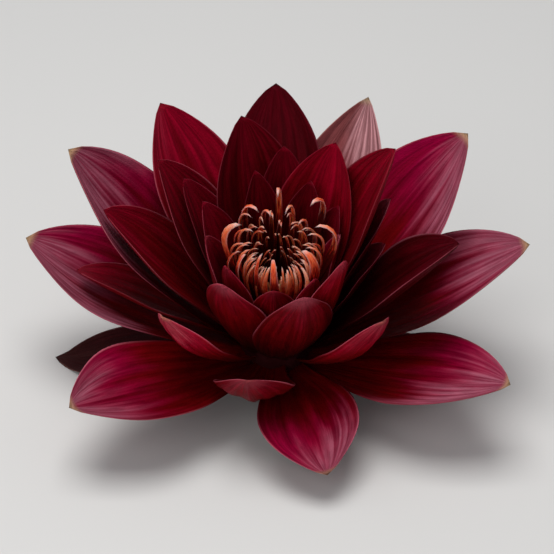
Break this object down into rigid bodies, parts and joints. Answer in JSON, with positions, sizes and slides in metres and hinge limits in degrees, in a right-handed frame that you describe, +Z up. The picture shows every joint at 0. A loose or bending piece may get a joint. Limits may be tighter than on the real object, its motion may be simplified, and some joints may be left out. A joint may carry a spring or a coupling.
{
  "type": "water lily flower",
  "caption": "Open water lily bloom, dark red, with layers of cupped pointed petals round a ring of curled stamens, on drooping sepals and a short cut stalk.",
  "frame": {"origin": "on the surface that the bloom rests on, in the middle of the whole outline seen from above", "axes": "+Z up; the bloom's own axis leans 8 degrees from +Z towards -Y, which is the side that faces a viewer; +X to the viewer's right"},
  "size_m": [0.1194, 0.0944, 0.0655],
  "materials": {
    "sepal": "satin, green-brown below and dusky pink above",
    "petal": "satin, dark red with a paler dusky sheen towards the tips",
    "stamen": "matte, orange-red with pale tips",
    "stigma": "moist, dark red"
  },
  "bodies": {
    "root": {"sepals_and_stalk": "sepal", "petals": "petal", "stamens": "stamen", "stigma": "stigma"}
  },
  "joints": []
}
